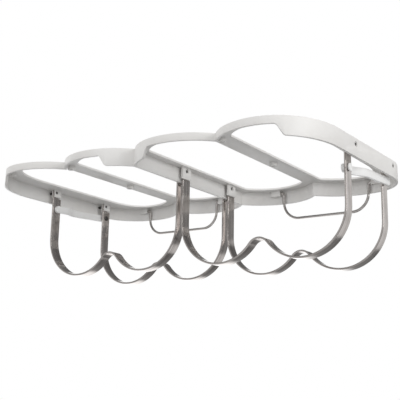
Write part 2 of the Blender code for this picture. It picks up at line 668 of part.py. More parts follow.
def make_strut(name, side, parts, joined, cutters, pivots):
    """The plastic strut: inside the near leg, jogged outwards, outside the far leg."""
    bm = bmesh.new()
    rings = []
    for along, offset, half in strut_stations():
        outer = side * (STRUT_NEAR_FACE + offset)
        inner = side * (STRUT_NEAR_FACE + offset - STRUT_THICKNESS)
        z = STRUT_RISE * along / PIVOT_SPAN
        corners = ((inner, z - half), (inner, z + half), (outer, z + half), (outer, z - half))
        rings.append([bm.verts.new((x, along, height)) for x, height in corners])
    for ring, after in zip(rings, rings[1:]):
        for k in range(4):
            nearby = (k + 1) % 4
            bm.faces.new((ring[k], ring[nearby], after[nearby], after[k]))
    bm.faces.new(rings[0])
    bm.faces.new(rings[-1])
    strut = add_mesh(name, bm, parts)
    hubs = make_collection(f"{name}_joined", joined)
    bores = make_collection(f"{name}_bores", cutters)
    hub_start = side * (STRUT_NEAR_FACE - FIT_GAP)
    hub_end = side * (STRUT_NEAR_FACE - STRUT_HUB_LENGTH)
    x_cylinder(f"{name}_hub", STRUT_HUB_DIAMETER, hub_start, hub_end, NEAR_LINK_Y, NEAR_LINK_Z, hubs, 24)
    mouth = side * (STRUT_NEAR_FACE + BAND_THICKNESS)
    bore_end = side * (STRUT_NEAR_FACE - LINK_PIN_SEAT - FIT_GAP)
    diameter = LINK_PIN_DIAMETER + 2 * FIT_GAP
    x_cylinder(f"{name}_bore", diameter, mouth, bore_end, NEAR_LINK_Y, NEAR_LINK_Z, bores, 20)
    mouth = side * (STRUT_FAR_FACE - BAND_THICKNESS)
    eye_end = side * (STRUT_FAR_FACE + FAR_EYE_DEPTH)
    x_cylinder(f"{name}_eye", FAR_EYE_DIAMETER, mouth, eye_end, FAR_LINK_Y, FAR_LINK_Z, bores, 20)
    boolean(strut, "UNION", hubs)
    boolean(strut, "DIFFERENCE", bores)
    pivot = bpy.data.objects.new(f"{name}_hinge", None)
    pivot.empty_display_size = STRUT_HEIGHT
    pivot.location = (0, NEAR_LINK_Y, NEAR_LINK_Z)
    pivots.objects.link(pivot)
    strut.parent = pivot
    return strut


def turned_pin(name, side, profile, y, z, parts):
    """A turned pin along X at an outer leg, its profile given as (radius, place outwards from the leg)."""
    mesh = bpy.data.meshes.new(name)
    edges = [(k, k + 1) for k in range(len(profile) - 1)]
    mesh.from_pydata([(radius, 0, place) for radius, place in profile], edges, [])
    pin = bpy.data.objects.new(name, mesh)
    parts.objects.link(pin)
    turned = pin.modifiers.new("turned", "SCREW")
    turned.axis = "Z"
    turned.steps = 20
    turned.render_steps = 20
    turned.use_merge_vertices = True
    turned.merge_threshold = FIT_GAP / 10
    turned.use_smooth_shade = False
    pin.rotation_euler = (0, side * math.radians(90), 0)
    pin.location = (side * RAIL_LEG_X, y, z)
    return pin


def make_near_link_pin(name, side, parts):
    """The pin that ties the strut to the near band: a head outside the leg, its shank in the strut."""
    head = LINK_HEAD_DIAMETER / 2
    shank = LINK_PIN_DIAMETER / 2
    face = LEG_HALF + FIT_GAP
    end = face + LINK_HEAD_LENGTH
    tip = STRUT_NEAR_FACE - RAIL_LEG_X - LINK_PIN_SEAT
    profile = [(0, end), (head - HEAD_EDGE, end), (head, end - HEAD_EDGE), (head, face), (shank, face)]
    profile += [(shank, tip), (0, tip)]
    return turned_pin(name, side, profile, NEAR_LINK_Y, NEAR_LINK_Z, parts)


def make_far_link_pin(name, side, parts):
    """The rivet in the far leg whose tip runs in the strut's far eye."""
    head = FAR_HEAD_DIAMETER / 2
    shank = PIN_DIAMETER / 2
    face = -LEG_HALF - FIT_GAP
    end = face - FAR_HEAD_LENGTH
    tip = STRUT_FAR_FACE - RAIL_LEG_X + FAR_PIN_REACH
    profile = [(0, tip), (shank, tip), (shank, face), (head, face), (head, end), (0, end)]
    return turned_pin(name, side, profile, FAR_LINK_Y, FAR_LINK_Z, parts)


def rounded_run(corners, radii, step=math.radians(15)):
    """A path through corners in one plane, each corner rounded to its radius."""
    points = [corners[0]]
    for before, corner, after, radius in zip(corners, corners[1:], corners[2:], radii):
        a = [b - c for b, c in zip(before, corner)]
        b = [p - c for p, c in zip(after, corner)]
        length_a, length_b = math.hypot(*a), math.hypot(*b)
        a = [v / length_a for v in a]
        b = [v / length_b for v in b]
        angle = math.acos(sum(p * q for p, q in zip(a, b)))
        back = radius / math.tan(angle / 2)
        middle = [p + q for p, q in zip(a, b)]
        length = math.hypot(*middle)
        hub = [c + m / length * radius / math.sin(angle / 2) for c, m in zip(corner, middle)]
        start = [c + v * back - h for c, v, h in zip(corner, a, hub)]
        end = [c + v * back - h for c, v, h in zip(corner, b, hub)]
        sweep = math.pi - angle
        count = max(2, math.ceil(sweep / step))
        for k in range(count + 1):
            share = k / count
            near = math.sin(sweep * (1 - share)) / math.sin(sweep)
            far = math.sin(sweep * share) / math.sin(sweep)
            points.append(tuple(h + near * s + far * e for h, s, e in zip(hub, start, end)))
    points.append(corners[-1])
    return points


def make_bail(name, side, parts, pivots):
    """A wire bail below the far wall, its bent ends lying in two sockets of the frame."""
    half = BAIL_HALF_SPAN
    end = half + BAIL_END_LENGTH
    corners = [(-end, 0), (-half, 0), (-half, -BAIL_DROP), (half, -BAIL_DROP), (half, 0), (end, 0)]
    radii = (BAIL_END_BEND, BAIL_BEND_RADIUS, BAIL_BEND_RADIUS, BAIL_END_BEND)
    path = rounded_run(corners, radii)
    curve = bpy.data.curves.new(name, "CURVE")
    curve.dimensions = "3D"
    curve.bevel_depth = WIRE_DIAMETER / 2
    curve.bevel_resolution = 3
    curve.use_fill_caps = True
    spline = curve.splines.new("POLY")
    spline.points.add(len(path) - 1)
    for point, (x, z) in zip(spline.points, path):
        point.co = (x, 0, z, 1)
    bail = bpy.data.objects.new(name, curve)
    parts.objects.link(bail)
    pivot = bpy.data.objects.new(f"{name}_hinge", None)
    pivot.empty_display_size = BAIL_DROP
    pivot.location = (side * BAIL_X, BAIL_Y, -BAIL_AXIS_DEPTH)
    pivots.objects.link(pivot)
    bail.parent = pivot
    return bail


def main():
    clear_scene()
    parts = make_collection("under_shelf_wine_rack")
    pivots = make_collection("hinge_lines")
    joined = make_collection("joined_shapes")
    cutters = make_collection("cutters")
    materials = {name: make_material(name) for name in COLOURS}
    finish = {name: [] for name in COLOURS}
    finish["frame_white"].append(make_frame(parts, joined, cutters))
    finish["pin_steel"] += make_pivot_pins(parts)
    near_hole = LINK_PIN_DIAMETER + 2 * FIT_GAP
    for side, name in ((-1, "left"), (1, "right")):
        rows = (("near", NEAR_PIVOT_Y, NEAR_LINK_Z, near_hole), ("far", FAR_PIVOT_Y, FAR_LINK_Z, PIN_HOLE))
        for row, pivot_y, link_z, hole in rows:
            band = make_band(f"{row}_band_{name}", side, pivot_y, link_z, hole, parts, cutters, pivots)
            finish["band_steel"].append(band)
        finish["strut_white"].append(make_strut(f"strut_{name}", side, parts, joined, cutters, pivots))
        finish["strut_white"].append(make_near_link_pin(f"near_link_pin_{name}", side, parts))
        finish["pin_steel"].append(make_far_link_pin(f"far_link_pin_{name}", side, parts))
        finish["wire_steel"].append(make_bail(f"bail_{name}", side, parts, pivots))
    for material, objects in finish.items():
        for obj in objects:
            obj.data.materials.clear()
            obj.data.materials.append(materials[material])
    for collection in (joined, cutters):
        collection.hide_render = True
        for obj in collection.all_objects:
            obj.hide_render = True
            obj.display_type = "WIRE"
    bpy.context.view_layer.update()


main()
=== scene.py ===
"""The look of an under-shelf wine rack with four cells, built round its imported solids.

X runs along the row of cells, Y from the near end of a cell to its far end, and Z up to the board above.
"""

import json
import math

import bmesh
import bpy
from mathutils import Matrix, Vector


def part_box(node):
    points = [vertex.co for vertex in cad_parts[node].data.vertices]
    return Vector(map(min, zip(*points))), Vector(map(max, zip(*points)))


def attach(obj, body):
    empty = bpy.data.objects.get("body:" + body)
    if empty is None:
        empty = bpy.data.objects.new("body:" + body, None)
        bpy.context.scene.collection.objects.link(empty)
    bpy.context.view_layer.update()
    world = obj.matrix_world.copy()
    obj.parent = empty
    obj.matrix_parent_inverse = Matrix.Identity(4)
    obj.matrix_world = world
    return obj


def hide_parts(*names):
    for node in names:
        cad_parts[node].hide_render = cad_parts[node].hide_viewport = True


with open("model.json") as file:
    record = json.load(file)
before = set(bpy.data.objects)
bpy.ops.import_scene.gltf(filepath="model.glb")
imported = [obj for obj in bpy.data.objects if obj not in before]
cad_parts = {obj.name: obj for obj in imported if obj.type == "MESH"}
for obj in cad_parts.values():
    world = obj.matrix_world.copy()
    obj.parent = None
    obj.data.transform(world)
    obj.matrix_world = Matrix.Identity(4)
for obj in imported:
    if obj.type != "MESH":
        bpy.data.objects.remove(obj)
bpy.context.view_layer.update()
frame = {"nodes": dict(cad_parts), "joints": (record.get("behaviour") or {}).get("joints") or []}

pivots = {joint["name"]: Vector(joint["pos_m"]) for joint in frame["joints"]}

# THE MOULDED FRAME
# One white plastic moulding: a flat plate with four openings, a skirt round its edge, a wall down the
# middle, and blocks for the pins and wires. The mould leaves its edges just round and its faces satin.
frame_edge_radius = 0.00045
frame_white = (0.80, 0.79, 0.775)
frame_shade = (0.765, 0.752, 0.732)
grain_size = 0.0006
grain_depth = 0.00004
cloud_size = 0.045
edge_segments = 3
edge_angle = math.radians(40)
flat_angle = math.radians(0.6)
weld_distance = 0.000001


def add_node(tree, kind, inputs, **settings):
    """A node with its settings and inputs. A (node, output) pair is linked and anything else is set."""
    made = tree.nodes.new(kind)
    for name, value in settings.items():
        setattr(made, name, value)
    for name, value in inputs.items():
        if isinstance(value, tuple) and isinstance(value[0], bpy.types.Node):
            tree.links.new(value[0].outputs[value[1]], made.inputs[name])
        else:
            made.inputs[name].default_value = value
    return made


def new_group(name, kind, sockets_in, sockets_out):
    """An empty node group with its named sockets, and its input and output nodes."""
    tree = bpy.data.node_groups.new(name, kind)
    for way, sockets in (("INPUT", sockets_in), ("OUTPUT", sockets_out)):
        for label, socket_kind in sockets:
            tree.interface.new_socket(name=label, in_out=way, socket_type=socket_kind)
    return tree, tree.nodes.new("NodeGroupInput"), tree.nodes.new("NodeGroupOutput")


def new_material(name, metallic, specular=0.5):
    """A material with its uniform values on the shader, and the tree to build the rest in."""
    material = bpy.data.materials.new(name)
    material.use_nodes = True
    shader = material.node_tree.nodes["Principled BSDF"]
    shader.inputs["Metallic"].default_value = metallic
    shader.inputs["Specular IOR Level"].default_value = specular
    return material, material.node_tree, shader


def feed_shader(tree, shader, surface, relief, depth):
    """Link what a surface group puts out to a material's shader, its height as a bump."""
    bump = add_node(tree, "ShaderNodeBump",
                    {"Strength": relief, "Distance": depth, "Height": (surface, "Height")})
    tree.links.new(surface.outputs["Colour"], shader.inputs["Base Color"])
    tree.links.new(surface.outputs["Roughness"], shader.inputs["Roughness"])
    tree.links.new(bump.outputs["Normal"], shader.inputs["Normal"])


# Moulded plastic: a fine even grain from the mould, and faint clouds where the melt flowed.
FLOAT, COLOUR, VECTOR = "NodeSocketFloat", "NodeSocketColor", "NodeSocketVector"
moulded, given, result = new_group(
    "moulded_surface", "ShaderNodeTree",
    (("Vector", VECTOR), ("Grain Scale", FLOAT), ("Cloud Scale", FLOAT), ("Bright", COLOUR),
     ("Dull", COLOUR), ("Smoothest", FLOAT), ("Roughest", FLOAT)),
    (("Colour", COLOUR), ("Roughness", FLOAT), ("Height", FLOAT)))
grain = add_node(moulded, "ShaderNodeTexNoise",
                 {"Vector": (given, "Vector"), "Scale": (given, "Grain Scale"), "Detail": 3.0})
cloud = add_node(moulded, "ShaderNodeTexNoise",
                 {"Vector": (given, "Vector"), "Scale": (given, "Cloud Scale"), "Detail": 4.0,
                  "Distortion": 0.6})
cloud_mask = add_node(moulded, "ShaderNodeMapRange",
                      {"Value": (cloud, "Fac"), "From Min": 0.38, "From Max": 0.62})
tint = add_node(moulded, "ShaderNodeMix",
                {0: (cloud_mask, "Result"), 6: (given, "Bright"), 7: (given, "Dull")}, data_type="RGBA")
rough = add_node(moulded, "ShaderNodeMapRange",
                 {"Value": (grain, "Fac"), "From Min": 0.3, "From Max": 0.7, "To Min": (given, "Smoothest"),
                  "To Max": (given, "Roughest")})
moulded.links.new(tint.outputs[2], result.inputs["Colour"])
moulded.links.new(rough.outputs["Result"], result.inputs["Roughness"])
moulded.links.new(grain.outputs["Fac"], result.inputs["Height"])


def moulded_material(name, bright, dull, smoothest, roughest, relief):
    """White plastic with its own tint and gloss."""
    material, tree, shader = new_material(name, 0.0)
    place = add_node(tree, "ShaderNodeTexCoord", {})
    surface = add_node(tree, "ShaderNodeGroup",
                       {"Vector": (place, "Object"), "Grain Scale": 1 / grain_size,
                        "Cloud Scale": 1 / cloud_size, "Bright": (*bright, 1), "Dull": (*dull, 1),
                        "Smoothest": smoothest, "Roughest": roughest}, node_tree=moulded)
    feed_shader(tree, shader, surface, relief, grain_depth)
    return material


def new_object(name, data):
    """An object in the scene, at the origin."""
    made = bpy.data.objects.new(name, data)
    bpy.context.scene.collection.objects.link(made)
    return made


def plain_mesh(piece):
    """Turn an object with live modifiers into one with a plain mesh."""
    mesh = bpy.data.meshes.new_from_object(piece.evaluated_get(bpy.context.evaluated_depsgraph_get()))
    name = piece.name
    bpy.data.objects.remove(piece, do_unlink=True)
    mesh.name = name
    return new_object(name, mesh)


def rounded_copy(name, node, radius, material):
    """A welded copy of a solid with its edges rounded and its flat faces kept flat."""
    bm = bmesh.new()
    bm.from_mesh(frame["nodes"][node].data)
    bmesh.ops.remove_doubles(bm, verts=bm.verts, dist=weld_distance)
    bmesh.ops.dissolve_limit(bm, angle_limit=flat_angle, verts=bm.verts, edges=bm.edges)
    mesh = bpy.data.meshes.new(name)
    bm.to_mesh(mesh)
    bm.free()
    mesh.shade_smooth()
    mesh.materials.clear()
    mesh.materials.append(material)
    piece = new_object(name, mesh)
    bevel = piece.modifiers.new("rounded_edges", "BEVEL")
    bevel.width = radius
    bevel.segments = edge_segments
    bevel.limit_method = "ANGLE"
    bevel.angle_limit = edge_angle
    bevel.harden_normals = True
    made = plain_mesh(piece)
    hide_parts(node)
    return made


frame_plastic = moulded_material("frame_plastic", frame_white, frame_shade,
                                 smoothest=0.38, roughest=0.50, relief=0.35)
frame_moulding = rounded_copy("frame_moulding", "frame", frame_edge_radius, frame_plastic)
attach(frame_moulding, "frame_body")

# THE PIVOT PINS
# Eight short steel pins with chamfered ends, pressed through the blocks of the frame. Each leg of a band
# turns on one. All of them stay in the frame, so they are one piece.
pin_names = [f"pivot_pin_{row}_{where}_{side}" for row in ("near", "far") for where in ("middle", "rail")
             for side in ("left", "right")]
pin_chamfer = 0.00035
pin_sides = 24
# The pins' steel is coloured near black. This is painted shade for the deep holes in the frame that they sit
# in.
pin_grey_painted_shade = (0.13, 0.125, 0.12)
pin_dark_painted_shade = (0.07, 0.067, 0.065)
line_length = 0.16
line_width = 0.0016
line_depth = 0.00002
line_share = 0.7
patches_per_metre = 55.0
crease_angle = math.radians(38)
GEOMETRY, INT, MATERIAL = "NodeSocketGeometry", "NodeSocketInt", "NodeSocketMaterial"

round_bar, given, result = new_group(
    "round_bar", "GeometryNodeTree",
    (("Path", GEOMETRY), ("Diameter", FLOAT), ("Sides", INT), ("Finish", MATERIAL)),
    (("Geometry", GEOMETRY),))
half = add_node(round_bar, "ShaderNodeMath", {0: (given, "Diameter"), 1: 0.5}, operation="MULTIPLY")
ring = add_node(round_bar, "GeometryNodeCurvePrimitiveCircle",
                {"Resolution": (given, "Sides"), "Radius": (half, "Value")})
taper = add_node(round_bar, "GeometryNodeInputRadius", {})
bar = add_node(round_bar, "GeometryNodeCurveToMesh",
               {"Curve": (given, "Path"), "Profile Curve": (ring, "Curve"), "Scale": (taper, "Radius"),
                "Fill Caps": True})
real = add_node(round_bar, "GeometryNodeRealizeInstances", {"Geometry": (bar, "Mesh")})
finished = add_node(round_bar, "GeometryNodeSetMaterial",
                    {"Geometry": (real, "Geometry"), "Material": (given, "Finish")})
round_bar.links.new(finished.outputs["Geometry"], result.inputs["Geometry"])

# Drawn and rolled steel: fine lines along the piece, and slow changes of tone.
steel, given, result = new_group(
    "worked_steel", "ShaderNodeTree",
    (("Vector", VECTOR), ("Line Length", FLOAT), ("Line Width", FLOAT), ("Patch Scale", FLOAT),
     ("Light", COLOUR), ("Dark", COLOUR), ("Smoothest", FLOAT), ("Roughest", FLOAT)),
    (("Colour", COLOUR), ("Roughness", FLOAT), ("Height", FLOAT)))
split = add_node(steel, "ShaderNodeSeparateXYZ", {"Vector": (given, "Vector")})
along, across, through = (
    add_node(steel, "ShaderNodeMath", {0: (split, axis), 1: (given, stretch)}, operation="DIVIDE")
    for axis, stretch in (("X", "Line Length"), ("Y", "Line Width"), ("Z", "Line Width")))
stretched = add_node(steel, "ShaderNodeCombineXYZ",
                     {"X": (along, "Value"), "Y": (across, "Value"), "Z": (through, "Value")})
lines = add_node(steel, "ShaderNodeTexNoise", {"Vector": (stretched, "Vector"), "Scale": 1.0, "Detail": 2.0})
patch_place = add_node(steel, "ShaderNodeVectorMath", {0: (given, "Vector"), "Scale": (given, "Patch Scale")},
                       operation="SCALE")
patches = add_node(steel, "ShaderNodeTexNoise",
                   {"Vector": (patch_place, "Vector"), "Scale": 1.0, "Detail": 2.0})
both = add_node(steel, "ShaderNodeMix", {0: line_share, 2: (patches, "Fac"), 3: (lines, "Fac")},
                data_type="FLOAT")
tone = add_node(steel, "ShaderNodeMapRange", {"Value": (both, 0), "From Min": 0.35, "From Max": 0.65})
tint = add_node(steel, "ShaderNodeMix", {0: (tone, "Result"), 6: (given, "Dark"), 7: (given, "Light")},
                data_type="RGBA")
rough = add_node(steel, "ShaderNodeMapRange",
                 {"Value": (lines, "Fac"), "From Min": 0.3, "From Max": 0.7, "To Min": (given, "Smoothest"),
                  "To Max": (given, "Roughest")})
steel.links.new(tint.outputs[2], result.inputs["Colour"])
steel.links.new(rough.outputs["Result"], result.inputs["Roughness"])
steel.links.new(lines.outputs["Fac"], result.inputs["Height"])


def steel_material(name, light, dark, smoothest, roughest, relief, uv_map=None):
    """Worked steel, with its lines along the piece's own map, or along X where it has none."""
    material, tree, shader = new_material(name, 1.0)
    if uv_map:
        vector = (add_node(tree, "ShaderNodeUVMap", {}, uv_map=uv_map), "UV")
    else:
        vector = (add_node(tree, "ShaderNodeTexCoord", {}), "Object")
    surface = add_node(tree, "ShaderNodeGroup",
                       {"Vector": vector, "Line Length": line_length, "Line Width": line_width,
                        "Patch Scale": patches_per_metre, "Light": (*light, 1), "Dark": (*dark, 1),
                        "Smoothest": smoothest, "Roughest": roughest}, node_tree=steel)
    feed_shader(tree, shader, surface, relief, line_depth)
    return material


def curve_object(name, runs):
    """A curve of open runs. Each point is (place, share of the full radius)."""
    curve = bpy.data.curves.new(name, "CURVE")
    curve.dimensions = "3D"
    for run in runs:
        spline = curve.splines.new("POLY")
        spline.points.add(len(run) - 1)
        for point, (place, share) in zip(spline.points, run):
            point.co = (*place, 1)
            point.radius = share
    return new_object(name, curve)


def with_tree(piece, tree, values):
    """Run a geometry tree on an object with its named inputs, and keep the plain mesh."""
    modifier = piece.modifiers.new(tree.name, "NODES")
    modifier.node_group = tree
    for item in tree.interface.items_tree:
        if item.name in values:
            modifier[item.identifier] = values[item.name]
    made = plain_mesh(piece)
    made.data.shade_smooth()
    made.data.set_sharp_from_angle(angle=crease_angle)
    return made


def pin_run(node):
    """A pin's centre line with the shares that chamfer its ends."""
    low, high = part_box(node)
    middle = (low + high) / 2
    radius = (high.z - low.z) / 2
    tip_share = 1 - pin_chamfer / radius
    stations = ((low.x, tip_share), (low.x + pin_chamfer, 1), (high.x - pin_chamfer, 1), (high.x, tip_share))
    return [(Vector((x, middle.y, middle.z)), share) for x, share in stations]


pin_low, pin_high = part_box(pin_names[0])
pin_diameter = pin_high.z - pin_low.z
pin_steel_painted_shade = steel_material("pin_steel_painted_shade_finish", pin_grey_painted_shade, pin_dark_painted_shade, smoothest=0.28, roughest=0.42, relief=0.2)
pivot_pins = with_tree(curve_object("pivot_pins", [pin_run(name) for name in pin_names]), round_bar,
                       {"Diameter": pin_diameter, "Sides": pin_sides, "Finish": pin_steel_painted_shade})
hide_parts(*pin_names)
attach(pivot_pins, "frame_body")

# THE CRADLE BANDS
# Four flat steel bands, each bent to a W from one strip with slightly round edges. The top of each leg is
# cut back behind and rounded about its pin, and the strip keeps fine lines from the rolling mill.
strip_thickness = 0.002
strip_edge = 0.0005
strip_edge_points = 3
peak_below_pivot = 0.0762
tab_length = 0.0058
tab_turns = (84, 72, 60, 45, 30, 15, 0)
shoulder_length = 0.001
shoulder_steps = 4
bend_step = math.radians(3)
band_light = (0.72, 0.68, 0.655)
band_dark = (0.36, 0.33, 0.315)

flat_strip, given, result = new_group(
    "flat_strip", "GeometryNodeTree",
    (("Path", GEOMETRY), ("Thickness", FLOAT), ("Width", FLOAT), ("Edge", FLOAT), ("Finish", MATERIAL)),
    (("Geometry", GEOMETRY),))
section = add_node(flat_strip, "GeometryNodeCurvePrimitiveQuadrilateral",
                   {"Width": (given, "Thickness"), "Height": (given, "Width")})
eased = add_node(flat_strip, "GeometryNodeFilletCurve",
                 {"Curve": (section, "Curve"), "Radius": (given, "Edge")}, mode="POLY")
eased.inputs["Count"].default_value = strip_edge_points
flat_normals = add_node(flat_strip, "GeometryNodeSetCurveNormal", {"Curve": (given, "Path")}, mode="Z_UP")
run_place = add_node(flat_strip, "GeometryNodeSplineParameter", {})
kept_run = add_node(flat_strip, "GeometryNodeCaptureAttribute", {"Geometry": (flat_normals, "Curve")})
kept_run.capture_items.new("FLOAT", "Along")
flat_strip.links.new(run_place.outputs["Length"], kept_run.inputs["Along"])
side_place = add_node(flat_strip, "GeometryNodeSplineParameter", {})
kept_side = add_node(flat_strip, "GeometryNodeCaptureAttribute", {"Geometry": (eased, "Curve")})
kept_side.capture_items.new("FLOAT", "Across")
flat_strip.links.new(side_place.outputs["Length"], kept_side.inputs["Across"])
swept = add_node(flat_strip, "GeometryNodeCurveToMesh",
                 {"Curve": (kept_run, "Geometry"), "Profile Curve": (kept_side, "Geometry"),
                  "Fill Caps": True})
map_place = add_node(flat_strip, "ShaderNodeCombineXYZ",
                     {"X": (kept_run, "Along"), "Y": (kept_side, "Across")})
mapped = add_node(flat_strip, "GeometryNodeStoreNamedAttribute",
                  {"Geometry": (swept, "Mesh"), "Name": "strip"}, data_type="FLOAT2", domain="CORNER")
flat_strip.links.new(map_place.outputs["Vector"], mapped.inputs["Value"])
real = add_node(flat_strip, "GeometryNodeRealizeInstances", {"Geometry": (mapped, "Geometry")})
finished = add_node(flat_strip, "GeometryNodeSetMaterial",
                    {"Geometry": (real, "Geometry"), "Material": (given, "Finish")})
flat_strip.links.new(finished.outputs["Geometry"], result.inputs["Geometry"])


def leg_run(x, tab, pivot_z, end_z):
    """Points down one leg, close together where its top is rounded and where it widens."""
    shoulder_top = pivot_z - tab_length
    heights = [pivot_z + tab * math.sin(math.radians(turn)) for turn in tab_turns]
    heights += [shoulder_top - shoulder_length * k / shoulder_steps for k in range(shoulder_steps + 1)]
    heights.append(end_z)
    return [(x, z) for z in heights]


def band_run(inner_x, outer_x, tab, pivot_z, bottom_z):
    """The W seen from the near end, as (x, z) along the middle of the strip, for the right cradle."""
    radius = (outer_x - inner_x) / 4
    centre_x = (inner_x + outer_x) / 2
    centre_z = bottom_z + strip_thickness / 2 + radius
    peak_z = pivot_z - peak_below_pivot
    rise = centre_z - peak_z
    peak_radius = rise ** 2 / (2 * (radius - rise))
    peak_hub = peak_z - peak_radius
    meet = math.atan2(centre_z - peak_hub, radius)
    count = math.ceil((math.pi - meet) / bend_step)
    turns = [(math.pi - meet) * k / count for k in range(1, count + 1)]
    half_run = leg_run(outer_x, tab, pivot_z, centre_z)
    half_run += [(centre_x + radius + radius * math.cos(t), centre_z - radius * math.sin(t)) for t in turns]
    count = math.ceil((math.pi / 2 - meet) / bend_step)
    turns = [meet + (math.pi / 2 - meet) * k / count for k in range(1, count + 1)]
    half_run += [(centre_x + peak_radius * math.cos(t), peak_hub + peak_radius * math.sin(t)) for t in turns]
    return half_run + [(2 * centre_x - x, z) for x, z in reversed(half_run[:-1])]


def strip_edges(z, tab, pivot, far_y):
    """The strip's near and far edges at a height: straight in front, and cut back behind the tab."""
    if z > pivot.z:
        half = math.sqrt(max(0, tab ** 2 - (z - pivot.z) ** 2))
        return pivot.y - half, pivot.y + half
    cut = min(1, max(0, (z - pivot.z + tab_length + shoulder_length) / shoulder_length))
    return pivot.y - tab, far_y + (pivot.y + tab - far_y) * cut


def make_band(name, side, pivot, material):
    """One band in the place of its solid: swept flat, stood up, and cut back at its tabs."""
    low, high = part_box(name)
    width = high.y - low.y
    tab = pivot.y - low.y
    inner_x = min(abs(low.x), abs(high.x)) + strip_thickness / 2
    outer_x = max(abs(low.x), abs(high.x)) - strip_thickness / 2
    run = band_run(inner_x, outer_x, tab, pivot.z, low.z)
    path = curve_object(f"{name}_strip", [[((side * x, z, 0), 1) for x, z in run]])
    band = with_tree(path, flat_strip, {"Thickness": strip_thickness, "Width": width, "Edge": strip_edge,
                                        "Finish": material})
    band.data.transform(Matrix.Rotation(math.pi / 2, 4, "X"))
    for vertex in band.data.vertices:
        near_y, far_y = strip_edges(vertex.co.z, tab, pivot, high.y)
        vertex.co.y = near_y + (far_y - near_y) * (vertex.co.y / width + 0.5)
    flat = band.modifiers.new("flat_faces", "WEIGHTED_NORMAL")
    flat.weight = 100
    band.data.shade_smooth()
    made = plain_mesh(band)
    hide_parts(name)
    return made


band_finish = steel_material("band_steel_finish", band_light, band_dark,
                             smoothest=0.09, roughest=0.18, relief=0.08, uv_map="strip")
for side, side_name in ((-1, "left"), (1, "right")):
    for row in ("near", "far"):
        band = make_band(f"{row}_band_{side_name}", side, pivots[f"{row}_fold_{side_name}"], band_finish)
        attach(band, f"{row}_band_body_{side_name}")

# THE STRUTS AND THEIR PINS
# A white plastic strut ties the two bands of a cradle together beside the rail. A plastic pin with a flat
# head holds it to the near leg, and a steel rivet in the far leg runs in its far eye.
strut_edge = 0.0006
strut_white = (0.90, 0.90, 0.895)
strut_shade = (0.87, 0.868, 0.86)
plug_head_length = 0.0018
plug_shank = 0.0021
plug_edge_share = 0.28
plug_edge_steps = 4
rivet_head_length = 0.0009
rivet_shank = 0.0015
dome_turns = (0, 15, 30, 45, 60, 75, 90)
turned_steps = 40
turned_weld = 0.00001

strut_plastic = moulded_material("strut_plastic", strut_white, strut_shade,
                                 smoothest=0.26, roughest=0.36, relief=0.2)
for side_name in ("left", "right"):
    strut = rounded_copy(f"strut_bar_{side_name}", f"strut_{side_name}", strut_edge, strut_plastic)
    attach(strut, f"strut_body_{side_name}")


def turned_piece(name, node, outward, stations, material):
    """A turned pin along X, from (place outwards from its inner end, radius) stations."""
    low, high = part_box(node)
    middle = (low + high) / 2
    start = low.x if outward > 0 else high.x
    mesh = bpy.data.meshes.new(name)
    mesh.from_pydata([(place, 0, radius) for place, radius in stations],
                     [(k, k + 1) for k in range(len(stations) - 1)], [])
    mesh.materials.append(material)
    piece = new_object(name, mesh)
    turned = piece.modifiers.new("turned", "SCREW")
    turned.axis = "X"
    turned.steps = turned.render_steps = turned_steps
    turned.use_merge_vertices = True
    turned.merge_threshold = turned_weld
    made = plain_mesh(piece)
    made.data.transform(Matrix.Translation((start, middle.y, middle.z)) @ Matrix.Diagonal((outward, 1, 1, 1)))
    bm = bmesh.new()
    bm.from_mesh(made.data)
    bmesh.ops.remove_doubles(bm, verts=bm.verts, dist=turned_weld)
    bmesh.ops.recalc_face_normals(bm, faces=bm.faces)
    bm.to_mesh(made.data)
    bm.free()
    made.data.shade_smooth()
    made.data.set_sharp_from_angle(angle=crease_angle)
    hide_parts(node)
    return made


def plug_stations(length, head):
    """A plug's outline: a chamfered shank, and a flat head whose outer edge is rounded."""
    edge = plug_head_length * plug_edge_share
    face = length - plug_head_length
    stations = [(0, 0), (0, plug_shank - pin_chamfer), (pin_chamfer, plug_shank), (face, plug_shank),
                (face, head - pin_chamfer), (face + pin_chamfer, head)]
    turns = [math.pi / 2 * k / plug_edge_steps for k in range(plug_edge_steps, -1, -1)]
    stations += [(length - edge * (1 - math.cos(t)), head - edge + edge * math.sin(t)) for t in turns]
    return stations + [(length, 0)]


def rivet_stations(length, head):
    """A rivet's outline: a domed head at its inner end, and a shank with a chamfered tip."""
    stations = [(rivet_head_length * (1 - math.cos(math.radians(t))), head * math.sin(math.radians(t)))
                for t in dome_turns]
    return stations + [(rivet_head_length, rivet_shank), (length - pin_chamfer, rivet_shank),
                       (length, rivet_shank - pin_chamfer), (length, 0)]


for side, side_name in ((-1, "left"), (1, "right")):
    node = f"near_link_pin_{side_name}"
    low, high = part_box(node)
    stations = plug_stations(high.x - low.x, (high.z - low.z) / 2)
    plug = turned_piece(f"near_link_plug_{side_name}", node, side, stations, strut_plastic)
    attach(plug, f"strut_body_{side_name}")
    node = f"far_link_pin_{side_name}"
    low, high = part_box(node)
    stations = rivet_stations(high.x - low.x, (high.z - low.z) / 2)
    # The rivet shares the pins' steel, which is coloured near black as painted shade.
    rivet = turned_piece(f"far_link_rivet_{side_name}", node, side, stations, pin_steel_painted_shade)
    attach(rivet, f"far_band_body_{side_name}")

# THE BAILS
# A bail of bright drawn wire hangs under the far edge of each cradle and closes that end. Its ends are
# bent outwards and sit in the frame's sockets, so that it folds away.
wire_end_length = 0.008
end_bend_radius = 0.0035
corner_bend_radius = 0.019
wire_step = math.radians(6)
wire_sides = 20
wire_light = (0.74, 0.71, 0.69)
wire_dark = (0.52, 0.495, 0.48)


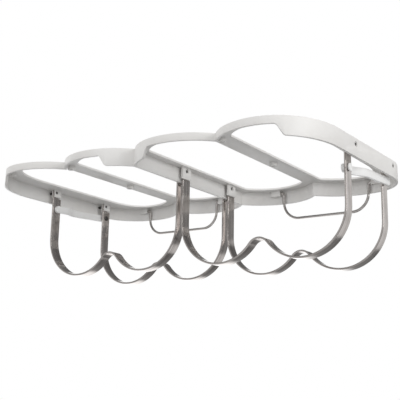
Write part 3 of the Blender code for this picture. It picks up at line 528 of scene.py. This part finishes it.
def rounded_run(corners, radii):
    """A path through the corners of a flat route, each corner bent to its radius."""
    points = [corners[0]]
    for before, corner, after, radius in zip(corners, corners[1:], corners[2:], radii):
        back = (before - corner).normalized()
        ahead = (after - corner).normalized()
        angle = back.angle(ahead)
        reach = radius / math.tan(angle / 2)
        hub = corner + (back + ahead).normalized() * radius / math.sin(angle / 2)
        start = corner + back * reach - hub
        end = corner + ahead * reach - hub
        sweep = math.pi - angle
        count = max(2, math.ceil(sweep / wire_step))
        for k in range(count + 1):
            share = k / count
            from_start = math.sin(sweep * (1 - share)) / math.sin(sweep)
            points.append(hub + start * from_start + end * math.sin(sweep * share) / math.sin(sweep))
    return points + [corners[-1]]


wire_finish = steel_material("wire_steel_finish", wire_light, wire_dark,
                             smoothest=0.10, roughest=0.20, relief=0.15)
for side_name in ("left", "right"):
    node = f"bail_{side_name}"
    low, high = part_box(node)
    pivot = pivots[f"bail_fold_{side_name}"]
    wire = high.y - low.y
    end_x = (high.x - low.x) / 2
    leg_x = end_x - wire_end_length
    drop = pivot.z - low.z - wire / 2
    route = ((-end_x, 0), (-leg_x, 0), (-leg_x, -drop), (leg_x, -drop), (leg_x, 0), (end_x, 0))
    corners = [pivot + Vector((x, 0, z)) for x, z in route]
    radii = (end_bend_radius, corner_bend_radius, corner_bend_radius, end_bend_radius)
    run = [(place, 1) for place in rounded_run(corners, radii)]
    bail = with_tree(curve_object(f"wire_bail_{side_name}", [run]), round_bar,
                     {"Diameter": wire, "Sides": wire_sides, "Finish": wire_finish})
    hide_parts(node)
    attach(bail, f"bail_body_{side_name}")

# THE STUDIO
# A pale floor well below the rack, in a white surround whose plain light is strongest from the near left,
# with one soft lamp to the right. The steel mirrors a ring of panels, bright on the left, dark or grey
# beyond, and dark overhead. The camera looks up from below the near right corner.
floor_depth = 0.42
floor_reach = 3.0
floor_grey = 0.42
floor_white_share = 0.9
white_panel = 1.5
grey_panel = 0.82
side_panel = 0.26
front_panel = 0.55
dim_panel = 0.30
dark_gap = 0.18
panel_stops = ((0.28, white_panel), (0.36, dim_panel), (0.62, dark_gap), (0.64, grey_panel),
               (0.73, grey_panel), (0.75, side_panel))
bright_side = (-0.50, -0.86, 0.0)
weakest_fill = 0.30
strongest_fill = 1.38
lamp_place = (1.45, -0.15, 0.35)
lamp_size = 0.9
lamp_power = 8.9


def grey(level):
    """A neutral colour."""
    return (level, level, level, 1)


bpy.context.scene.view_settings.view_transform = "Standard"
world = bpy.data.worlds.new("studio")
bpy.context.scene.world = world
world.use_nodes = True
surround = world.node_tree
surround.nodes.clear()
ray = add_node(surround, "ShaderNodeLightPath", {})
direction = add_node(surround, "ShaderNodeTexCoord", {})
aim = add_node(surround, "ShaderNodeSeparateXYZ", {"Vector": (direction, "Generated")})
across = add_node(surround, "ShaderNodeMapRange", {"Value": (aim, "X"), "From Min": -1.0})
walls = add_node(surround, "ShaderNodeValToRGB", {"Fac": (across, "Result")})
for element, level in zip(walls.color_ramp.elements, (white_panel, side_panel)):
    element.color = grey(level)
for place, level in panel_stops:
    walls.color_ramp.elements.new(place).color = grey(level)
behind = add_node(surround, "ShaderNodeMapRange", {"Value": (aim, "Y"), "From Min": -0.2, "From Max": 0.2})
round_about = add_node(surround, "ShaderNodeMix",
                       {0: (behind, "Result"), 6: grey(front_panel), 7: (walls, "Color")}, data_type="RGBA")
above = add_node(surround, "ShaderNodeMapRange", {"Value": (aim, "Z"), "From Min": 0.26, "From Max": 0.42})
ceiling = add_node(surround, "ShaderNodeMix",
                   {0: (above, "Result"), 6: (round_about, 2), 7: grey(dark_gap)}, data_type="RGBA")
frontal = add_node(surround, "ShaderNodeVectorMath", {0: (direction, "Generated"), 1: bright_side},
                   operation="DOT_PRODUCT")
fill = add_node(surround, "ShaderNodeMapRange",
                {"Value": (frontal, "Value"), "From Min": -1.0, "From Max": 1.0, "To Min": weakest_fill,
                 "To Max": strongest_fill})
ambient = add_node(surround, "ShaderNodeBackground", {"Color": grey(1), "Strength": (fill, "Result")})
mirrored = add_node(surround, "ShaderNodeBackground", {"Color": (ceiling, 2), "Strength": 1.0})
white = add_node(surround, "ShaderNodeBackground", {"Color": grey(1), "Strength": 1.0})
glossy = add_node(surround, "ShaderNodeMath", {0: (ray, "Is Glossy Ray"), 1: (ray, "Is Transmission Ray")},
                  operation="MAXIMUM")
seen = add_node(surround, "ShaderNodeMixShader",
                {0: (glossy, "Value"), 1: (ambient, "Background"), 2: (mirrored, "Background")})
shown = add_node(surround, "ShaderNodeMixShader",
                 {0: (ray, "Is Camera Ray"), 1: (seen, "Shader"), 2: (white, "Background")})
add_node(surround, "ShaderNodeOutputWorld", {"Surface": (shown, "Shader")})

# The floor shows pale to the camera and takes the rack's shadow. The steel doesn't mirror it.
floor_material = bpy.data.materials.new("pale_floor")
floor_material.use_nodes = True
tree = floor_material.node_tree
tree.nodes.clear()
ray = add_node(tree, "ShaderNodeLightPath", {})
paper = add_node(tree, "ShaderNodeBsdfDiffuse", {"Color": grey(floor_grey)})
glow = add_node(tree, "ShaderNodeEmission", {"Color": grey(1), "Strength": 1.0})
share = add_node(tree, "ShaderNodeMath", {0: (ray, "Is Camera Ray"), 1: floor_white_share},
                 operation="MULTIPLY")
top = add_node(tree, "ShaderNodeMixShader", {0: (share, "Value"), 1: (paper, "BSDF"), 2: (glow, "Emission")})
clear = add_node(tree, "ShaderNodeBsdfTransparent", {})
geometry = add_node(tree, "ShaderNodeNewGeometry", {})
passed = add_node(tree, "ShaderNodeMath", {0: (geometry, "Backfacing"), 1: (ray, "Is Glossy Ray")},
                  operation="MAXIMUM")
one_sided = add_node(tree, "ShaderNodeMixShader",
                     {0: (passed, "Value"), 1: (top, "Shader"), 2: (clear, "BSDF")})
add_node(tree, "ShaderNodeOutputMaterial", {"Surface": (one_sided, "Shader")})
bm = bmesh.new()
bmesh.ops.create_grid(bm, x_segments=1, y_segments=1, size=floor_reach)
bmesh.ops.translate(bm, vec=(0, 0, -floor_depth), verts=bm.verts)
floor_mesh = bpy.data.meshes.new("floor")
bm.to_mesh(floor_mesh)
bm.free()
floor_mesh.materials.append(floor_material)
floor = new_object("floor", floor_mesh)

lamp_light = bpy.data.lights.new("key_lamp", "AREA")
lamp_light.shape = "SQUARE"
lamp_light.size = lamp_size
lamp_light.energy = lamp_power
lamp = new_object("key_lamp", lamp_light)
lamp.location = lamp_place
lamp.rotation_euler = (-Vector(lamp_place)).to_track_quat("-Z", "Y").to_euler()

# The camera's place and turn were fitted to the frame's notches, its rails and the bands.
camera_place = (0.4517, -0.6322, -0.2092)
camera_heading = math.radians(35.01)
camera_tilt = math.radians(12.97)
camera_roll = math.radians(1.16)
camera_data = bpy.data.cameras.new("camera")
camera_data.sensor_width = 36
camera_data.lens = 68.88
camera_data.clip_start = 0.01
camera = new_object("camera", camera_data)
turn = Matrix.Rotation(camera_heading, 4, "Z") @ Matrix.Rotation(math.pi / 2 + camera_tilt, 4, "X")
camera.matrix_world = Matrix.Translation(camera_place) @ turn @ Matrix.Rotation(camera_roll, 4, "Z")
bpy.context.scene.camera = camera
